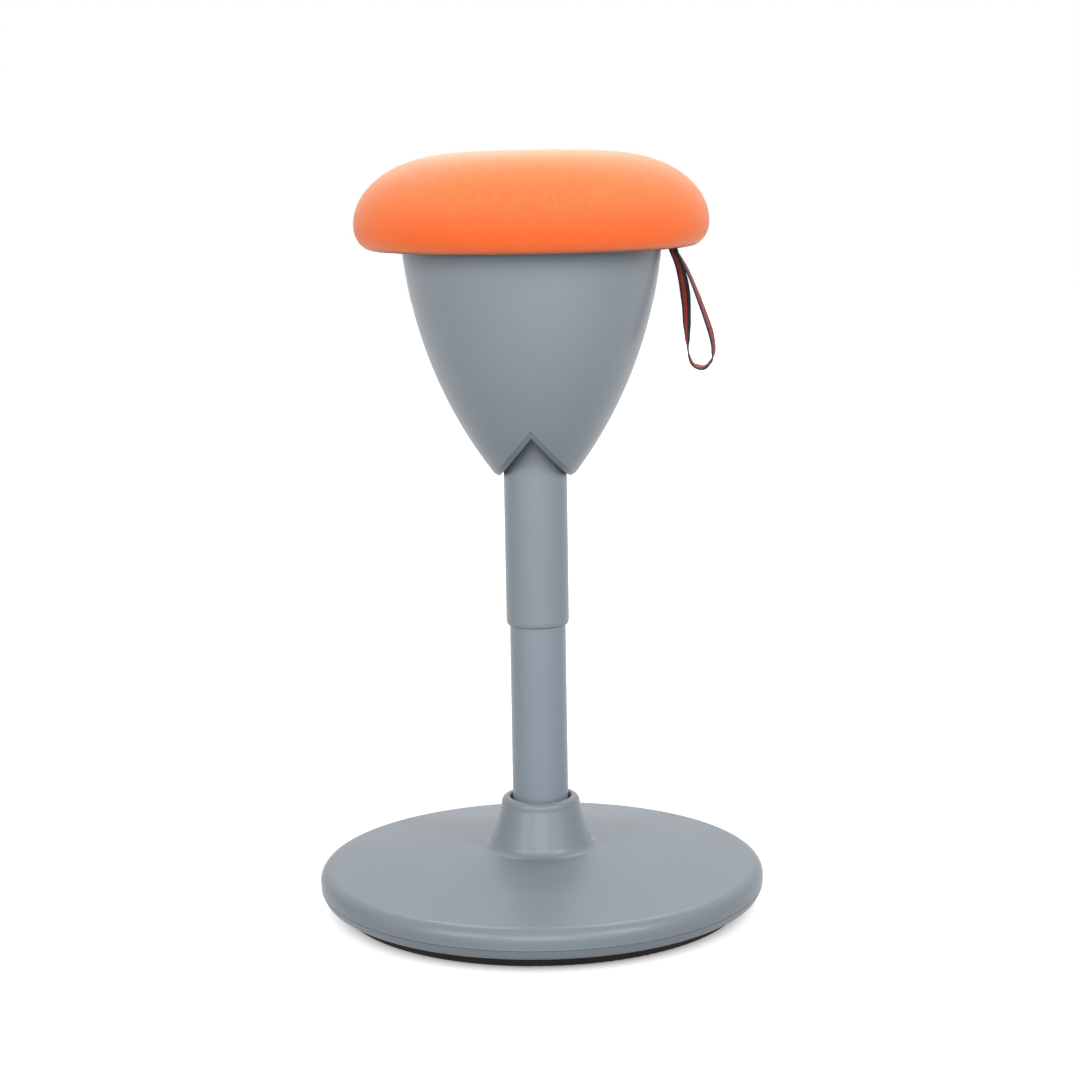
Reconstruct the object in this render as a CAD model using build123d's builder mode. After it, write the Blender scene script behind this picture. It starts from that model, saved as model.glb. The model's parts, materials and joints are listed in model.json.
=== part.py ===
"""Sit-stand stool: padded round seat, tulip shroud, telescopic gas column and weighted round foot.

Millimetres, +Z up, origin on the floor under the column axis. The pull strap hangs on the +X side.
"""

import math
import os

from build123d import *

# Foot
foot_radius = 200.0
foot_rim_height = 38.0
foot_rim_round = 11.0
foot_wall = 3.5
foot_split_height = 21.5
foot_draft = 0.05
foot_split_gap = 0.4
crown_inset = 80.0
crown_share = 0.62
crown_round = 300.0
hub_foot_radius = 47.0
hub_foot_height = 54.5
hub_foot_round = 9.0
hub_top_radius = 35.5
hub_top_height = 100.2
hub_shoulder = 8.0
hub_shoulder_draw = 1.0
hub_shoulder_round = 6.0
hub_top_round = 5.5
hub_mouth_radius = 27.6
hub_mouth_round = 1.5
hub_lip = 5.0
hub_lip_round = 0.6
hub_inner_round = 6.0
boss_wall = 3.0
boss_gap = 2.0

# Sole and pan
sole_thickness = 5.0
sole_flat_inset = 82.0
sole_edge_inset = 15.0
sole_edge_rise = 1.2
sole_edge_draft = 5.0
sole_edge_round = 4.0
sole_rock_round = 300.0
pan_floor = 3.0
pan_edge_inset = 3.2
pan_step_inset = 34.0
pan_step_draft = 3.0
pan_round = 2.0
pan_lip = 4.0
pan_lip_rise = 2.5
pan_lip_round = 1.5
pan_edge_round = 4.0
pan_flange_height = 12.0
tongue_height = 4.0
tongue_wall = 2.5
tongue_round = 0.8
tongue_foot_round = 1.0
screw_inset = 25.0
screw_radius = 2.0
screw_grip = 13.0
screw_boss_wall = 5.0
screw_recess_wall = 2.0
screw_recess_depth = 3.2
screw_head_wall = 1.6
screw_head_sink = 0.7
screw_count = 6

# Ballast and column socket
ballast_inset = 42.0
ballast_thickness = 10.0
ballast_chamfer = 1.0
ballast_bore = 27.0
socket_flange_radius = 58.0
socket_flange = 4.0
socket_radius = 29.5
socket_headroom = 1.2
bolt_ring_radius = 46.0
bolt_radius = 4.0
bolt_head_radius = 7.0
bolt_head_height = 5.5
bolt_end_gap = 1.0
bolt_count = 4
gusset_inset = 6.0
gusset_toe = 2.0
gusset_height = 40.0
gusset_thickness = 4.0
weld_depth = 1.0

# Column tube and telescopic sleeve
tube_radius = 25.0
tube_wall = 2.0
tube_taper = 0.6
tube_floor = 4.0
tube_sink = 2.0
tube_foot_draft = 0.02
rod_hole_gap = 1.5
sleeve_gap = 1.0
sleeve_wall = 2.0
sleeve_cap = 3.0
sleeve_hub_gap = 13.0
sleeve_lead = 0.8
sleeve_lead_height = 3.5
sleeve_lead_round = 4.0
sleeve_edge_round = 0.7
sleeve_cap_gap = 0.3
sleeve_cap_round = 1.5
sleeve_inner_round = 1.0
sleeve_groove = 0.6
sleeve_clip_reach = 5.0
sleeve_clip_mouth = 8.0
sleeve_clip_mouth_depth = 12.0

# Gas spring
cylinder_radius = 14.0
cylinder_wall = 2.0
cylinder_taper = 0.8
rod_radius = 5.0
rod_end = 1.5
rod_rivet = 2.0
piston_step = 1.0
collar_reach = 3.0
collar_height = 3.0
bump_reach = 7.0
bump_height = 14.0
bump_round = 2.0
bump_gap = 1.0
clip_drop = 2.5
clip_reach = 3.5
clip_slack = 0.2
clip_groove_depth = 0.8
clip_groove_width = 1.6
stroke_down = 145.0
stroke_up = 55.0
bush_length = 90.0
bush_flange = 3.0
bush_flange_inset = 0.3
bush_land = 22.0
bush_relief = 0.6
bush_relief_slope = 1.0
gland_length = 20.0
gland_inset = 0.5
piston_length = 18.0
piston_spare = 4.0
seal_share = 0.4
seal_depth = 2.0
seal_height = 4.0

# Swivel bearing
race_thickness = 2.0
race_bore_gap = 1.2
race_tube_gap = 7.0
race_margin = 3.0
roller_radius = 1.25
roller_count = 10
cage_thickness = 1.6
cage_gap = 0.2

# Seat
seat_underside = 592.2
seat_radius = 155.0
cover_thickness = 1.5
shoulder_inset = 89.0
shoulder_rise = 60.3
edge_inset = 17.5
edge_drop = 22.0
board_thickness = 11.0
board_inset = 19.0
board_bore_radius = 32.0
slot_width = 9.0
slot_play = 2.0
slot_round = 2.0
slot_shift = 0.6
channel_start = 20.0
channel_play = 1.0
hem_inset = 22.5
hem_lap = 1.0

# Shroud
shroud_inset = 42.0
shroud_height = 202.4
shroud_tip_gap = 5.0
shroud_flare_drop = 35.0
shroud_wall = 3.0
notch_height = 41.2
notch_bevel = 5.0
notch_bevel_depth = 2.0
tab_count = 6
tab_turn = 30.0
tab_gap = 1.0
tab_thickness = 2.5
tab_width = 12.0
tab_root = 14.0
tab_end_gap = 0.5
hook_height = 2.7
hook_recess = 3.5

# Seat plate and release
plate_thickness = 3.0
plate_flange_radius = 78.0
plate_bowl_radius = 48.0
plate_bowl_depth = 48.0
plate_bowl_draft = 6.0
plate_bowl_wall = 2.6
plate_outer_round = 6.0
plate_inner_round = 3.0
plate_bolt_ring_radius = 66.0
plate_bolt_radius = 3.0
plate_bolt_head_radius = 5.6
plate_bolt_head_height = 4.0
plate_bolt_end_gap = 1.0
plate_bolt_count = 4
plate_bolt_turn = 45.0
tee_flange_radius = 9.0
tee_barrel_radius = 4.2
tee_barrel_gap = 1.0
tee_flange_thickness = 1.5
taper_socket_radius = 18.0
taper_socket_length = 50.0
toe_arm = 12.0
nub_radius = 4.0
crank_width = 18.0
crank_boss = 6.0
fork_radius = 3.4
fork_start = 12.0
fork_length = 30.0
fork_play = 0.8
ear_thickness = 3.0
ear_width = 14.0
ear_gap = 0.3
ear_shift = 1.0
ear_lift = 1.0
bracket_length = 56.0
bracket_lip = 7.0
bracket_thickness = 2.0
bracket_round = 4.0
bracket_bore_gap = 0.8
pivot_radius = 3.0
pivot_end = 2.0
pivot_head = 2.0
valve_radius = 4.0
valve_rise = 6.0
valve_press = 3.0
valve_end_gap = 0.5
valve_chamfer = 0.6

# Pull strap
strap_width = 12.0
strap_thickness = 1.2
strap_turn = 28.0
strap_inset = 32.5
tail_depth = 1.2
tail_end_gap = 1.0
loop_gap = 0.3
loop_height = 108.6
loop_width = 41.0

# Clearances
fit = 0.03
running = 0.06
loose = 0.4

os.makedirs("parts", exist_ok=True)

# Radii and levels that follow from the sizes above
crown_radius = foot_radius - crown_inset
sole_flat_radius = foot_radius - sole_flat_inset
sole_edge_radius = foot_radius - sole_edge_inset
pan_edge = foot_radius - pan_edge_inset
pan_step_radius = foot_radius - pan_step_inset
screw_circle = foot_radius - screw_inset
ballast_radius = foot_radius - ballast_inset
board_radius = seat_radius - board_inset
hem_radius = seat_radius - hem_inset
strap_place = seat_radius - strap_inset
shroud_top_radius = seat_radius - shroud_inset
pan_bottom = sole_thickness
pan_top = pan_bottom + pan_floor
ballast_top = pan_top + ballast_thickness
flange_top = ballast_top + socket_flange
socket_top = hub_top_height - hub_lip - socket_headroom
tube_bottom = ballast_top - tube_sink
race_low = tube_bottom + tube_floor
race_high = race_low + race_thickness + 2 * roller_radius + 2 * fit
collar_low = race_high + race_thickness
collar_top = collar_low + collar_height
bump_top = collar_top + bump_height
cylinder_bottom = bump_top + bump_gap + stroke_down
gland_top = cylinder_bottom + gland_inset + gland_length
piston_low = gland_top + stroke_up + piston_spare
piston_top = piston_low + piston_length

flange_low = seat_underside - plate_thickness
bowl_top = seat_underside - plate_bowl_depth
bowl_low = bowl_top - plate_thickness
taper_low = bowl_top - taper_socket_length
cap_low = taper_low - sleeve_cap
clip_low = cap_low - 3.0
tube_top = clip_low - stroke_down - 12.0
bush_low = tube_top - bush_length
cylinder_top = bowl_top + 4.0
valve_top = cylinder_top + valve_rise
valve_low = valve_top - 16.0
chamber_top = valve_low - valve_press - 3.0
pivot_height = valve_top + 0.3 + nub_radius
board_top = seat_underside + board_thickness

sleeve_inner = tube_radius + sleeve_gap
sleeve_radius = sleeve_inner + sleeve_wall
sleeve_low = hub_top_height + stroke_down + sleeve_hub_gap

seat_widest = seat_underside + edge_drop - cover_thickness
eye_inner = 3.7
pin_radius = 2.0
tail_top = board_top - tail_depth
pin_height = tail_top - strap_thickness - eye_inner


# Foot cover: domed disc with a rolled rim and a conical hub round the column
split_radius = foot_radius - foot_draft * (foot_rim_height - foot_rim_round - foot_split_height)
rim_corner = foot_radius + foot_draft * foot_rim_round
crown_height = foot_rim_height + crown_share * (hub_foot_height - foot_rim_height)
crown_slope = (crown_height - foot_rim_height) / (rim_corner - crown_radius)
boss_top = foot_rim_height + crown_slope * (rim_corner - screw_circle) - 0.5 * foot_wall
with BuildPart() as base_cover:
    with BuildSketch(Plane.XZ):
        with BuildLine():
            FilletPolyline(
                (split_radius, foot_split_height),
                (rim_corner, foot_rim_height),
                (crown_radius, crown_height),
                (hub_foot_radius, hub_foot_height),
                (hub_top_radius, hub_top_height - hub_shoulder),
                (hub_top_radius - hub_shoulder_draw, hub_top_height),
                (hub_mouth_radius, hub_top_height),
                (hub_mouth_radius, hub_top_height - hub_lip),
                (hub_top_radius - foot_wall - hub_shoulder_draw, hub_top_height - hub_lip),
                (hub_foot_radius - foot_wall, hub_foot_height - foot_wall),
                (crown_radius, crown_height - foot_wall),
                (rim_corner - foot_wall, foot_rim_height - foot_wall),
                (split_radius - foot_wall, foot_split_height),
                radius=[
                    0,
                    foot_rim_round,
                    crown_round,
                    hub_foot_round,
                    hub_shoulder_round,
                    hub_top_round,
                    hub_mouth_round,
                    hub_lip_round,
                    0,
                    hub_inner_round,
                    crown_round,
                    foot_rim_round - foot_wall,
                    0,
                ],
                close=True,
            )
        make_face()
    revolve(axis=Axis.Z)
    with BuildSketch(Plane.XY.offset(foot_split_height + boss_gap)):
        with PolarLocations(screw_circle, screw_count):
            Circle(screw_radius + boss_wall)
    extrude(amount=boss_top - foot_split_height - boss_gap)
    with BuildSketch(Plane.XY.offset(foot_split_height + boss_gap)):
        with PolarLocations(screw_circle, screw_count):
            Circle(screw_radius + fit)
    extrude(amount=screw_grip, mode=Mode.SUBTRACT)
base_cover.part.label = "base_cover"
export_step(base_cover.part, "parts/base_cover.step")

# Foot pan: shallow tray that closes the foot from below, with a tongue inside the cover's skirt
tongue = split_radius - foot_wall - loose
with BuildPart() as base_pan:
    with BuildSketch(Plane.XZ):
        with BuildLine():
            FilletPolyline(
                (0, pan_bottom),
                (pan_step_radius - pan_step_draft, pan_bottom),
                (pan_step_radius, pan_flange_height),
                (pan_edge - pan_lip, pan_flange_height),
                (pan_edge, pan_flange_height + pan_lip_rise),
                (split_radius, foot_split_height - foot_split_gap),
                (tongue, foot_split_height - foot_split_gap),
                (tongue, foot_split_height + tongue_height),
                (tongue - tongue_wall, foot_split_height + tongue_height),
                (tongue - tongue_wall, pan_flange_height + pan_floor),
                (pan_step_radius - pan_floor, pan_flange_height + pan_floor),
                (pan_step_radius - pan_floor - pan_step_draft, pan_top),
                (0, pan_top),
                radius=[
                    0,
                    pan_round,
                    pan_round,
                    pan_lip_round,
                    pan_edge_round,
                    0,
                    0,
                    tongue_round,
                    tongue_round,
                    tongue_foot_round,
                    pan_round,
                    pan_round,
                    0,
                ],
                close=True,
            )
        make_face()
    revolve(axis=Axis.Z)
    with BuildSketch(Plane.XY.offset(pan_flange_height)):
        with PolarLocations(screw_circle, screw_count):
            Circle(screw_radius + screw_boss_wall)
    extrude(amount=foot_split_height + boss_gap - pan_flange_height - fit)
    with BuildSketch(Plane.XY.offset(pan_flange_height)):
        with PolarLocations(screw_circle, screw_count):
            Circle(screw_radius + screw_recess_wall)
    extrude(amount=screw_recess_depth, mode=Mode.SUBTRACT)
    with BuildSketch(Plane.XY.offset(pan_flange_height)):
        with PolarLocations(screw_circle, screw_count):
            Circle(screw_radius + fit)
    extrude(amount=foot_split_height, mode=Mode.SUBTRACT)
base_pan.part.label = "base_pan"
export_step(base_pan.part, "parts/base_pan.step")

# Pan screws: button heads sunk in the pan, threaded into the cover's bosses
with BuildPart() as base_screws:
    with BuildSketch(Plane.XY.offset(pan_flange_height + screw_head_sink)):
        with PolarLocations(screw_circle, screw_count):
            Circle(screw_radius + screw_head_wall)
    extrude(amount=screw_recess_depth - screw_head_sink)
    with BuildSketch(Plane.XY.offset(pan_flange_height + screw_recess_depth)):
        with PolarLocations(screw_circle, screw_count):
            Circle(screw_radius)
    extrude(amount=foot_split_height + screw_grip - pan_flange_height - screw_recess_depth)
base_screws.part.label = "base_screws"
export_step(base_screws.part, "parts/base_screws.step")

# Rubber sole: flat in the middle, rising to a rounded edge so that the stool can rock
with BuildPart() as rubber_sole:
    with BuildSketch(Plane.XZ):
        with BuildLine():
            FilletPolyline(
                (0, 0),
                (sole_flat_radius, 0),
                (sole_edge_radius - sole_edge_draft, sole_edge_rise),
                (sole_edge_radius, pan_flange_height),
                (pan_step_radius, pan_flange_height),
                (pan_step_radius - pan_step_draft, pan_bottom),
                (0, pan_bottom),
                radius=[0, sole_rock_round, sole_edge_round, 0, pan_round, pan_round, 0],
                close=True,
            )
        make_face()
    revolve(axis=Axis.Z)
rubber_sole.part.label = "rubber_sole"
export_step(rubber_sole.part, "parts/rubber_sole.step")

# Ballast: thick steel disc that keeps the stool upright
with BuildPart() as ballast_plate:
    with BuildSketch(Plane.XY.offset(pan_top)):
        Circle(ballast_radius)
        Circle(ballast_bore, mode=Mode.SUBTRACT)
        with PolarLocations(bolt_ring_radius, bolt_count):
            Circle(bolt_radius + fit, mode=Mode.SUBTRACT)
    extrude(amount=ballast_thickness)
    rim_edges = ballast_plate.edges().filter_by(GeomType.CIRCLE).group_by(SortBy.RADIUS)[-1]
    chamfer(rim_edges, length=ballast_chamfer)
ballast_plate.part.label = "ballast_plate"
export_step(ballast_plate.part, "parts/ballast_plate.step")

# Column socket: flanged steel tube with a tapered bore and four gussets
with BuildPart() as column_socket:
    with BuildSketch(Plane.XZ):
        with BuildLine():
            Polyline(
                (tube_radius - tube_taper + fit, ballast_top),
                (socket_flange_radius, ballast_top),
                (socket_flange_radius, flange_top),
                (socket_radius, flange_top),
                (socket_radius, socket_top),
                (tube_radius + fit, socket_top),
                close=True,
            )
        make_face()
    revolve(axis=Axis.Z)
    with BuildSketch(Plane.XZ):
        with BuildLine():
            Polyline(
                (socket_radius - weld_depth, flange_top - weld_depth),
                (socket_flange_radius - gusset_inset, flange_top - weld_depth),
                (socket_flange_radius - gusset_inset, flange_top + gusset_toe),
                (socket_radius - weld_depth, flange_top + gusset_height),
                close=True,
            )
        make_face()
    gusset = extrude(amount=gusset_thickness / 2, both=True, mode=Mode.PRIVATE)
    with PolarLocations(0, bolt_count, start_angle=180 / bolt_count):
        add(gusset)
    with BuildSketch(Plane.XY.offset(ballast_top)):
        with PolarLocations(bolt_ring_radius, bolt_count):
            Circle(bolt_radius + fit)
    extrude(amount=socket_flange, mode=Mode.SUBTRACT)
column_socket.part.label = "column_socket"
export_step(column_socket.part, "parts/column_socket.step")

# Socket bolts: hexagon heads on the flange, threaded into the ballast
with BuildPart() as socket_bolts:
    with BuildSketch(Plane.XY.offset(flange_top)):
        with PolarLocations(bolt_ring_radius, bolt_count):
            RegularPolygon(bolt_head_radius, 6)
    extrude(amount=bolt_head_height)
    with BuildSketch(Plane.XY.offset(pan_top + bolt_end_gap)):
        with PolarLocations(bolt_ring_radius, bolt_count):
            Circle(bolt_radius)
    extrude(amount=flange_top - pan_top - bolt_end_gap)
socket_bolts.part.label = "socket_bolts"
export_step(socket_bolts.part, "parts/socket_bolts.step")

# Column tube: tapered at the foot, with a floor that carries the swivel bearing
with BuildPart() as column_tube:
    with BuildSketch(Plane.XZ):
        with BuildLine():
            Polyline(
                (rod_radius + rod_hole_gap, tube_bottom),
                (tube_radius - tube_taper - tube_foot_draft, tube_bottom),
                (tube_radius - tube_taper, ballast_top),
                (tube_radius, socket_top),
                (tube_radius, tube_top),
                (tube_radius - tube_wall, tube_top),
                (tube_radius - tube_wall, race_low),
                (rod_radius + rod_hole_gap, race_low),
                close=True,
            )
        make_face()
    revolve(axis=Axis.Z)
column_tube.part.label = "column_tube"
export_step(column_tube.part, "parts/column_tube.step")

# Guide bush: flanged nylon sleeve in the tube's mouth with two running lands
with BuildPart() as guide_bush:
    with BuildSketch(Plane.XZ):
        with BuildLine():
            Polyline(
                (cylinder_radius + running, bush_low),
                (tube_radius - tube_wall - fit, bush_low),
                (tube_radius - tube_wall - fit, tube_top),
                (tube_radius - bush_flange_inset, tube_top),
                (tube_radius - bush_flange_inset, tube_top + bush_flange),
                (cylinder_radius + running, tube_top + bush_flange),
                (cylinder_radius + running, tube_top - bush_land),
                (cylinder_radius + bush_relief, tube_top - bush_land - bush_relief_slope),
                (cylinder_radius + bush_relief, bush_low + bush_land + bush_relief_slope),
                (cylinder_radius + running, bush_low + bush_land),
                close=True,
            )
        make_face()
    revolve(axis=Axis.Z)
guide_bush.part.label = "guide_bush"
export_step(guide_bush.part, "parts/guide_bush.step")

# Swivel bearing: two washers with a caged ring of rollers between them
race_inner = rod_radius + race_bore_gap
race_outer = tube_radius - tube_wall - race_tube_gap
roller_length = race_outer - race_inner - race_margin
roller_middle = (race_outer + race_inner) / 2
roller_height = race_low + race_thickness + fit + roller_radius
with BuildPart() as bearing_washer_lower:
    with BuildSketch(Plane.XY.offset(race_low)):
        Circle(race_outer)
        Circle(race_inner, mode=Mode.SUBTRACT)
    extrude(amount=race_thickness)
bearing_washer_lower.part.label = "bearing_washer_lower"
export_step(bearing_washer_lower.part, "parts/bearing_washer_lower.step")

with BuildPart() as bearing_washer_upper:
    with BuildSketch(Plane.XY.offset(race_high)):
        Circle(race_outer)
        Circle(rod_radius + fit, mode=Mode.SUBTRACT)
    extrude(amount=race_thickness)
bearing_washer_upper.part.label = "bearing_washer_upper"
export_step(bearing_washer_upper.part, "parts/bearing_washer_upper.step")

with BuildPart() as bearing_rollers:
    with PolarLocations(roller_middle, roller_count):
        with Locations(Location((0, 0, roller_height), (0, 90, 0))):
            Cylinder(roller_radius, roller_length)
bearing_rollers.part.label = "bearing_rollers"
export_step(bearing_rollers.part, "parts/bearing_rollers.step")

with BuildPart() as bearing_cage:
    with BuildSketch(Plane.XY.offset(roller_height - cage_thickness / 2)):
        Circle(race_outer - cage_gap)
        Circle(race_inner + cage_gap, mode=Mode.SUBTRACT)
        with PolarLocations(roller_middle, roller_count):
            Rectangle(roller_length + cage_gap, 2 * roller_radius + cage_gap, mode=Mode.SUBTRACT)
    extrude(amount=cage_thickness)
bearing_cage.part.label = "bearing_cage"
export_step(bearing_cage.part, "parts/bearing_cage.step")

# Piston rod: stands on the bearing by its collar and is clipped below the tube floor
clip_height = tube_bottom - clip_drop
with BuildPart() as piston_rod:
    with BuildSketch(Plane.XZ):
        with BuildLine():
            Polyline(
                (0, clip_height - rod_end),
                (rod_radius, clip_height - rod_end),
                (rod_radius, clip_height),
                (rod_radius - clip_groove_depth, clip_height),
                (rod_radius - clip_groove_depth, clip_height + clip_groove_width),
                (rod_radius, clip_height + clip_groove_width),
                (rod_radius, collar_low),
                (rod_radius + collar_reach, collar_low),
                (rod_radius + collar_reach, collar_top),
                (rod_radius, collar_top),
                (rod_radius, piston_low),
                (rod_radius - piston_step, piston_low),
                (rod_radius - piston_step, piston_top + rod_rivet),
                (0, piston_top + rod_rivet),
                close=True,
            )
        make_face()
    revolve(axis=Axis.Z)
piston_rod.part.label = "piston_rod"
export_step(piston_rod.part, "parts/piston_rod.step")

with BuildPart() as rod_clip:
    with BuildSketch(Plane.XY.offset(clip_height + clip_slack)):
        Circle(rod_radius + clip_reach)
        Circle(rod_radius - clip_groove_depth + fit, mode=Mode.SUBTRACT)
        with Locations((rod_radius, 0)):
            Rectangle(2 * rod_radius, 1.6 * rod_radius - 2, mode=Mode.SUBTRACT)
    extrude(amount=clip_groove_width - 2 * clip_slack)
rod_clip.part.label = "rod_clip"
export_step(rod_clip.part, "parts/rod_clip.step")

# Bump stop: rubber ring on the collar that ends the downward travel
with BuildPart() as bump_stop:
    with BuildSketch(Plane.XZ):
        with BuildLine():
            FilletPolyline(
                (rod_radius + fit, collar_top),
                (rod_radius + bump_reach, collar_top),
                (rod_radius + bump_reach, bump_top),
                (rod_radius + fit, bump_top),
                radius=[0, bump_round, bump_round, 0],
                close=True,
            )
        make_face()
    revolve(axis=Axis.Z)
bump_stop.part.label = "bump_stop"
export_step(bump_stop.part, "parts/bump_stop.step")

# Piston with its seal, on the rod's upper end
chamber_radius = cylinder_radius - cylinder_wall
seal_low = piston_low + seal_share * piston_length
with BuildPart() as piston:
    with BuildSketch(Plane.XZ):
        with BuildLine():
            Polyline(
                (rod_radius - piston_step + fit, piston_low),
                (chamber_radius - loose, piston_low),
                (chamber_radius - loose, seal_low),
                (chamber_radius - seal_depth, seal_low),
                (chamber_radius - seal_depth, seal_low + seal_height),
                (chamber_radius - loose, seal_low + seal_height),
                (chamber_radius - loose, piston_top),
                (rod_radius - piston_step + fit, piston_top),
                close=True,
            )
        make_face()
    revolve(axis=Axis.Z)
piston.part.label = "piston"
export_step(piston.part, "parts/piston.step")

with BuildPart() as piston_seal:
    with BuildSketch(Plane.XY.offset(seal_low + fit)):
        Circle(chamber_radius - running)
        Circle(chamber_radius - seal_depth + fit, mode=Mode.SUBTRACT)
    extrude(amount=seal_height - 2 * fit)
piston_seal.part.label = "piston_seal"
export_step(piston_seal.part, "parts/piston_seal.step")

# Gas cylinder: pressure tube with a tapered, closed top that holds the valve
with BuildPart() as gas_cylinder:
    with BuildSketch(Plane.XZ):
        with BuildLine():
            Polyline(
                (chamber_radius, cylinder_bottom),
                (cylinder_radius, cylinder_bottom),
                (cylinder_radius, clip_low),
                (cylinder_radius - sleeve_groove, clip_low),
                (cylinder_radius - sleeve_groove, cap_low),
                (cylinder_radius, cap_low),
                (cylinder_radius, taper_low),
                (cylinder_radius - cylinder_taper, bowl_top),
                (cylinder_radius - cylinder_taper, cylinder_top),
                (valve_radius + running, cylinder_top),
                (valve_radius + running, valve_low - valve_press - valve_end_gap),
                (0, valve_low - valve_press - valve_end_gap),
                (0, chamber_top),
                (chamber_radius, chamber_top),
                close=True,
            )
        make_face()
    revolve(axis=Axis.Z)
gas_cylinder.part.label = "gas_cylinder"
export_step(gas_cylinder.part, "parts/gas_cylinder.step")

with BuildPart() as cylinder_gland:
    with BuildSketch(Plane.XY.offset(cylinder_bottom + gland_inset)):
        Circle(chamber_radius - fit)
        Circle(rod_radius + running, mode=Mode.SUBTRACT)
    extrude(amount=gland_length)
cylinder_gland.part.label = "cylinder_gland"
export_step(cylinder_gland.part, "parts/cylinder_gland.step")

with BuildPart() as valve_pin:
    with BuildSketch(Plane.XY.offset(valve_low)):
        Circle(valve_radius)
    extrude(amount=valve_top - valve_low)
    chamfer(valve_pin.edges().group_by(Axis.Z)[-1], length=valve_chamfer)
valve_pin.part.label = "valve_pin"
export_step(valve_pin.part, "parts/valve_pin.step")

# Upper sleeve: slides down over the column tube, closed at the top by a cap round the cylinder
with BuildPart() as upper_sleeve:
    with BuildSketch(Plane.XZ):
        with BuildLine():
            FilletPolyline(
                (sleeve_inner, sleeve_low),
                (sleeve_radius - sleeve_lead, sleeve_low),
                (sleeve_radius, sleeve_low + sleeve_lead_height),
                (sleeve_radius, taper_low),
                (cylinder_radius + sleeve_cap_gap, taper_low),
                (cylinder_radius + sleeve_cap_gap, cap_low),
                (sleeve_inner, cap_low),
                radius=[0, sleeve_edge_round, sleeve_lead_round, sleeve_cap_round, 0, 0, sleeve_inner_round],
                close=True,
            )
        make_face()
    revolve(axis=Axis.Z)
upper_sleeve.part.label = "upper_sleeve"
export_step(upper_sleeve.part, "parts/upper_sleeve.step")

# Sleeve clip: spring ring in the cylinder's groove, under the sleeve's cap
with BuildPart() as sleeve_clip:
    with BuildSketch(Plane.XY.offset(clip_low + fit)):
        Circle(cylinder_radius + sleeve_clip_reach)
        Circle(cylinder_radius - sleeve_groove + fit, mode=Mode.SUBTRACT)
        with Locations((cylinder_radius, 0)):
            Rectangle(sleeve_clip_mouth_depth, sleeve_clip_mouth, mode=Mode.SUBTRACT)
    extrude(amount=cap_low - clip_low - fit)
sleeve_clip.part.label = "sleeve_clip"
export_step(sleeve_clip.part, "parts/sleeve_clip.step")

# Taper socket: turned steel bush that grips the cylinder, welded into the seat plate
with BuildPart() as taper_socket:
    with BuildSketch(Plane.XZ):
        with BuildLine():
            Polyline(
                (cylinder_radius + fit, taper_low),
                (taper_socket_radius, taper_low),
                (taper_socket_radius, bowl_top),
                (cylinder_radius - cylinder_taper + fit, bowl_top),
                close=True,
            )
        make_face()
    revolve(axis=Axis.Z)
taper_socket.part.label = "taper_socket"
export_step(taper_socket.part, "parts/taper_socket.step")

# Seat plate: pressed steel bowl with a flange bolted under the seat board
with BuildPart() as seat_plate:
    with BuildSketch(Plane.XZ):
        with BuildLine():
            FilletPolyline(
                (taper_socket_radius + fit, bowl_low),
                (plate_bowl_radius, bowl_low),
                (plate_bowl_radius + plate_bowl_draft, flange_low),
                (plate_flange_radius, flange_low),
                (plate_flange_radius, seat_underside),
                (plate_bowl_radius + plate_bowl_draft - plate_bowl_wall, seat_underside),
                (plate_bowl_radius - plate_bowl_wall, bowl_top),
                (taper_socket_radius + fit, bowl_top),
                radius=[
                    0,
                    plate_outer_round,
                    plate_inner_round,
                    0,
                    0,
                    plate_outer_round,
                    plate_inner_round,
                    0,
                ],
                close=True,
            )
        make_face()
    revolve(axis=Axis.Z)
    with BuildSketch(Plane.XY.offset(flange_low)):
        with PolarLocations(plate_bolt_ring_radius, plate_bolt_count, start_angle=plate_bolt_turn):
            Circle(plate_bolt_radius + loose)
    extrude(amount=plate_thickness, mode=Mode.SUBTRACT)
seat_plate.part.label = "seat_plate"
export_step(seat_plate.part, "parts/seat_plate.step")

# Plate bolts and the tee nuts that they turn into
with BuildPart() as plate_bolts:
    with BuildSketch(Plane.XY.offset(flange_low - plate_bolt_head_height)):
        with PolarLocations(plate_bolt_ring_radius, plate_bolt_count, start_angle=plate_bolt_turn):
            RegularPolygon(plate_bolt_head_radius, 6)
    extrude(amount=plate_bolt_head_height)
    with BuildSketch(Plane.XY.offset(flange_low)):
        with PolarLocations(plate_bolt_ring_radius, plate_bolt_count, start_angle=plate_bolt_turn):
            Circle(plate_bolt_radius)
    extrude(amount=plate_thickness + board_thickness - plate_bolt_end_gap)
plate_bolts.part.label = "plate_bolts"
export_step(plate_bolts.part, "parts/plate_bolts.step")

with BuildPart() as tee_nuts:
    with BuildSketch(Plane.XY.offset(board_top - tee_flange_thickness)):
        with PolarLocations(plate_bolt_ring_radius, plate_bolt_count, start_angle=plate_bolt_turn):
            Circle(tee_flange_radius)
    extrude(amount=tee_flange_thickness)
    with BuildSketch(Plane.XY.offset(seat_underside + tee_barrel_gap)):
        with PolarLocations(plate_bolt_ring_radius, plate_bolt_count, start_angle=plate_bolt_turn):
            Circle(tee_barrel_radius)
    extrude(amount=board_thickness - tee_flange_thickness - tee_barrel_gap)
    with BuildSketch(Plane.XY.offset(seat_underside + tee_barrel_gap)):
        with PolarLocations(plate_bolt_ring_radius, plate_bolt_count, start_angle=plate_bolt_turn):
            Circle(plate_bolt_radius + fit)
    extrude(amount=board_thickness, mode=Mode.SUBTRACT)
tee_nuts.part.label = "tee_nuts"
export_step(tee_nuts.part, "parts/tee_nuts.step")

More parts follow.
